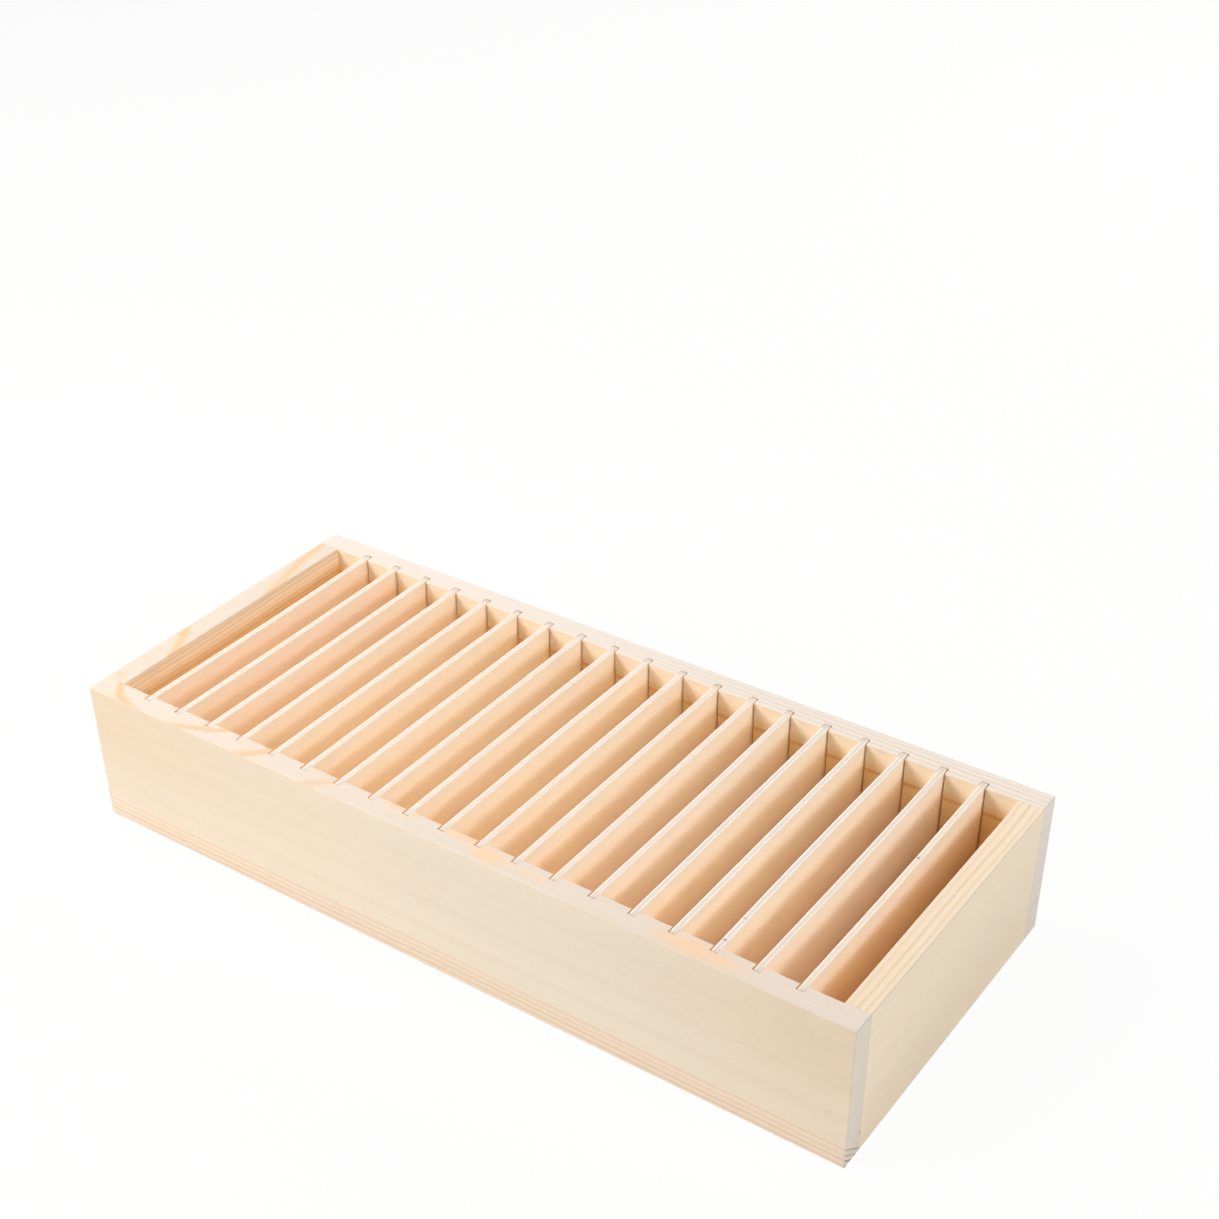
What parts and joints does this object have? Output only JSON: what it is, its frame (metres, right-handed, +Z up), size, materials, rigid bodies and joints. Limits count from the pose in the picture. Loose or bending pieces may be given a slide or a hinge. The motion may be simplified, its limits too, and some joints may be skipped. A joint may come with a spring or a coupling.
{
  "type": "card storage box",
  "caption": "Low open pine tray for cards on edge, with thin plywood dividers that lift out of upright slots in its long walls.",
  "frame": {"origin": "middle of the underside, on the surface that the box stands on", "axes": "+X along the length from left to right, +Y from the front board to the rear board, +Z up"},
  "size_m": [0.42, 0.181, 0.076],
  "materials": {
    "pine_board": "bare, planed and sanded",
    "base_plywood": "bare",
    "divider_plywood": "bare, sanded"
  },
  "bodies": {
    "box": {"front_panel": "pine_board", "rear_panel": "pine_board", "left_end_panel": "pine_board", "right_end_panel": "pine_board", "base_panel": "base_plywood"},
    "divider_01": {"divider_01": "divider_plywood"},
    "divider_02": {"divider_02": "divider_plywood"},
    "divider_03": {"divider_03": "divider_plywood"},
    "divider_04": {"divider_04": "divider_plywood"},
    "divider_05": {"divider_05": "divider_plywood"},
    "divider_06": {"divider_06": "divider_plywood"},
    "divider_07": {"divider_07": "divider_plywood"},
    "divider_08": {"divider_08": "divider_plywood"},
    "divider_09": {"divider_09": "divider_plywood"},
    "divider_10": {"divider_10": "divider_plywood"},
    "divider_11": {"divider_11": "divider_plywood"},
    "divider_12": {"divider_12": "divider_plywood"},
    "divider_13": {"divider_13": "divider_plywood"},
    "divider_14": {"divider_14": "divider_plywood"},
    "divider_15": {"divider_15": "divider_plywood"},
    "divider_16": {"divider_16": "divider_plywood"},
    "divider_17": {"divider_17": "divider_plywood"},
    "divider_18": {"divider_18": "divider_plywood"},
    "divider_19": {"divider_19": "divider_plywood"}
  },
  "joints": [
    {"name": "divider_01_lift", "type": "slide", "parent": "box", "child": "divider_01", "axis": [0, 0, 1], "range_m": [0, 0.072]},
    {"name": "divider_02_lift", "type": "slide", "parent": "box", "child": "divider_02", "axis": [0, 0, 1], "range_m": [0, 0.072]},
    {"name": "divider_03_lift", "type": "slide", "parent": "box", "child": "divider_03", "axis": [0, 0, 1], "range_m": [0, 0.072]},
    {"name": "divider_04_lift", "type": "slide", "parent": "box", "child": "divider_04", "axis": [0, 0, 1], "range_m": [0, 0.072]},
    {"name": "divider_05_lift", "type": "slide", "parent": "box", "child": "divider_05", "axis": [0, 0, 1], "range_m": [0, 0.072]},
    {"name": "divider_06_lift", "type": "slide", "parent": "box", "child": "divider_06", "axis": [0, 0, 1], "range_m": [0, 0.072]},
    {"name": "divider_07_lift", "type": "slide", "parent": "box", "child": "divider_07", "axis": [0, 0, 1], "range_m": [0, 0.072]},
    {"name": "divider_08_lift", "type": "slide", "parent": "box", "child": "divider_08", "axis": [0, 0, 1], "range_m": [0, 0.072]},
    {"name": "divider_09_lift", "type": "slide", "parent": "box", "child": "divider_09", "axis": [0, 0, 1], "range_m": [0, 0.072]},
    {"name": "divider_10_lift", "type": "slide", "parent": "box", "child": "divider_10", "axis": [0, 0, 1], "range_m": [0, 0.072]},
    {"name": "divider_11_lift", "type": "slide", "parent": "box", "child": "divider_11", "axis": [0, 0, 1], "range_m": [0, 0.072]},
    {"name": "divider_12_lift", "type": "slide", "parent": "box", "child": "divider_12", "axis": [0, 0, 1], "range_m": [0, 0.072]},
    {"name": "divider_13_lift", "type": "slide", "parent": "box", "child": "divider_13", "axis": [0, 0, 1], "range_m": [0, 0.072]},
    {"name": "divider_14_lift", "type": "slide", "parent": "box", "child": "divider_14", "axis": [0, 0, 1], "range_m": [0, 0.072]},
    {"name": "divider_15_lift", "type": "slide", "parent": "box", "child": "divider_15", "axis": [0, 0, 1], "range_m": [0, 0.072]},
    {"name": "divider_16_lift", "type": "slide", "parent": "box", "child": "divider_16", "axis": [0, 0, 1], "range_m": [0, 0.072]},
    {"name": "divider_17_lift", "type": "slide", "parent": "box", "child": "divider_17", "axis": [0, 0, 1], "range_m": [0, 0.072]},
    {"name": "divider_18_lift", "type": "slide", "parent": "box", "child": "divider_18", "axis": [0, 0, 1], "range_m": [0, 0.072]},
    {"name": "divider_19_lift", "type": "slide", "parent": "box", "child": "divider_19", "axis": [0, 0, 1], "range_m": [0, 0.072]}
  ]
}
